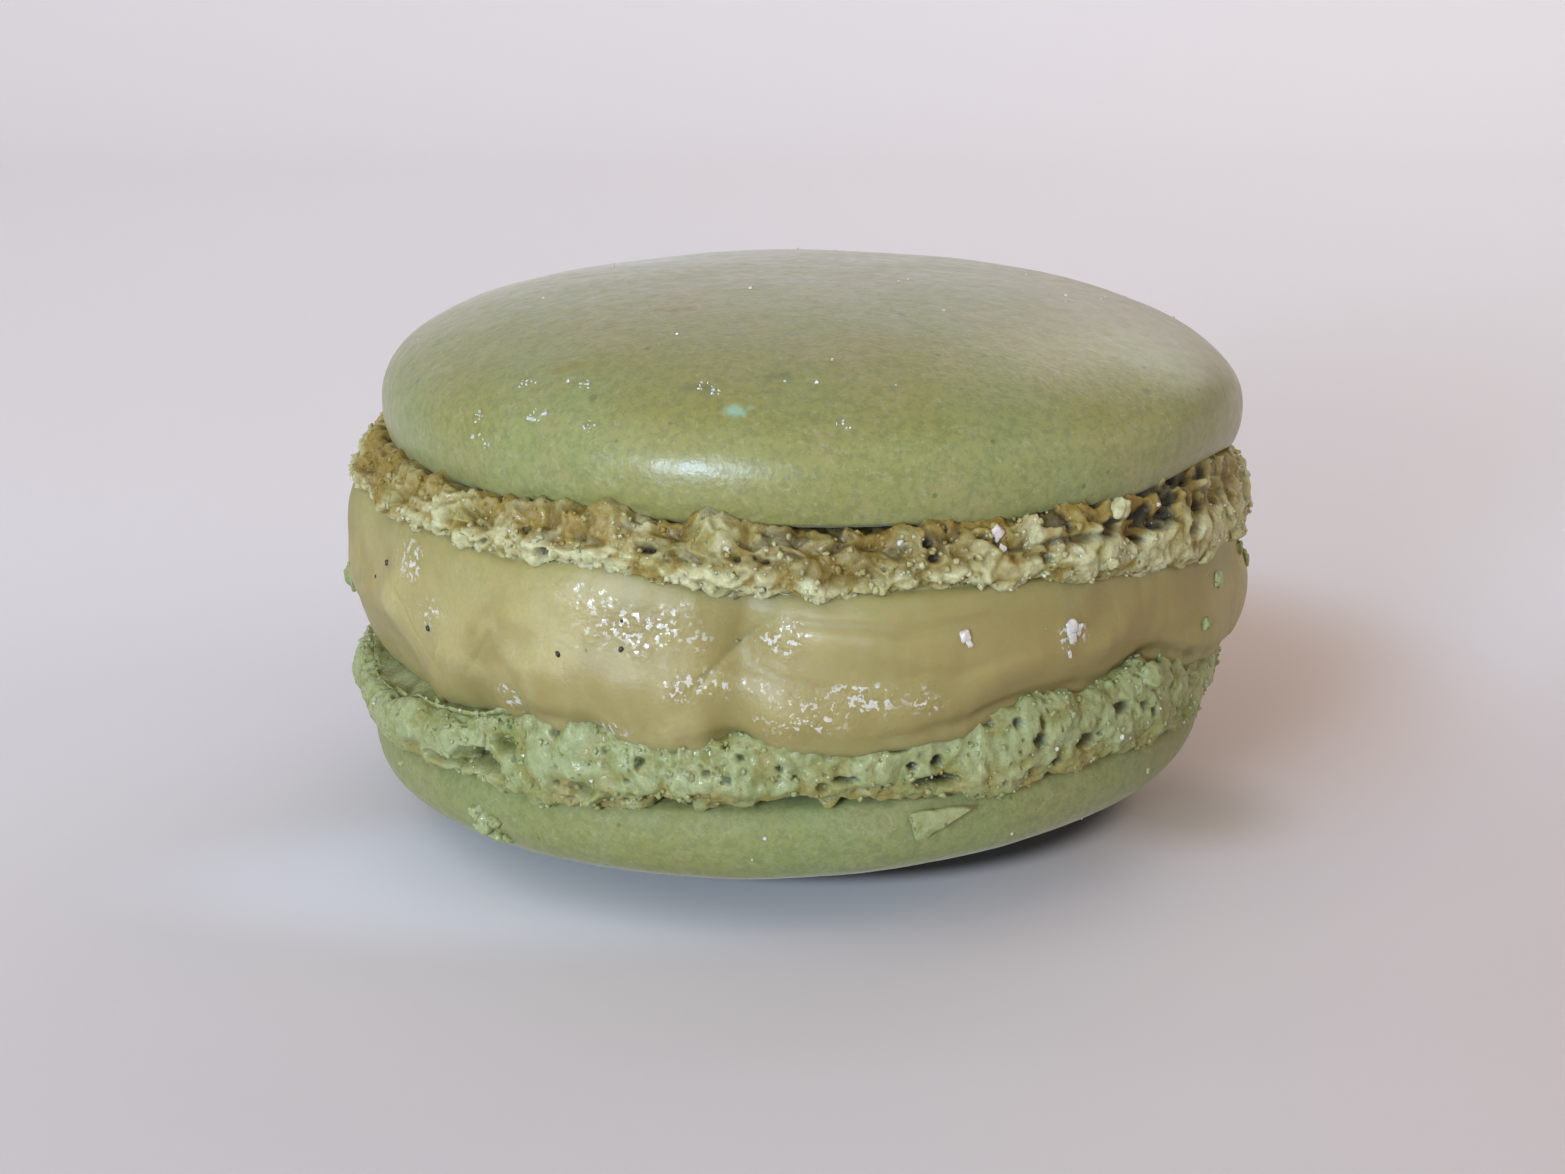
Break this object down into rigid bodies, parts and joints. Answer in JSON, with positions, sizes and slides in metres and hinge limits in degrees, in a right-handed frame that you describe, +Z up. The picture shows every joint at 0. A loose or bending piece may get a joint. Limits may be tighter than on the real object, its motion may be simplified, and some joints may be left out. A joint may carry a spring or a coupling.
{
  "type": "french macaron",
  "caption": "Round sandwich biscuit with smooth domed shells on ruffled feet around a thick layer of pale cream that bulges at the rim.",
  "frame": {"origin": "middle of the whole macaron's box, on the surface it rests on", "axes": "+Z up through both shells, -Y towards the shown side, +X to the right of that side"},
  "size_m": [0.048, 0.047, 0.0288],
  "materials": {
    "baked_shell": "smooth pale green baked skin with a soft sheen, crumbly and porous around the foot",
    "cream": "moist pale yellow cream with small bright glints"
  },
  "bodies": {
    "root": {"top_shell": "baked_shell", "filling": "cream", "bottom_shell": "baked_shell"}
  },
  "joints": []
}
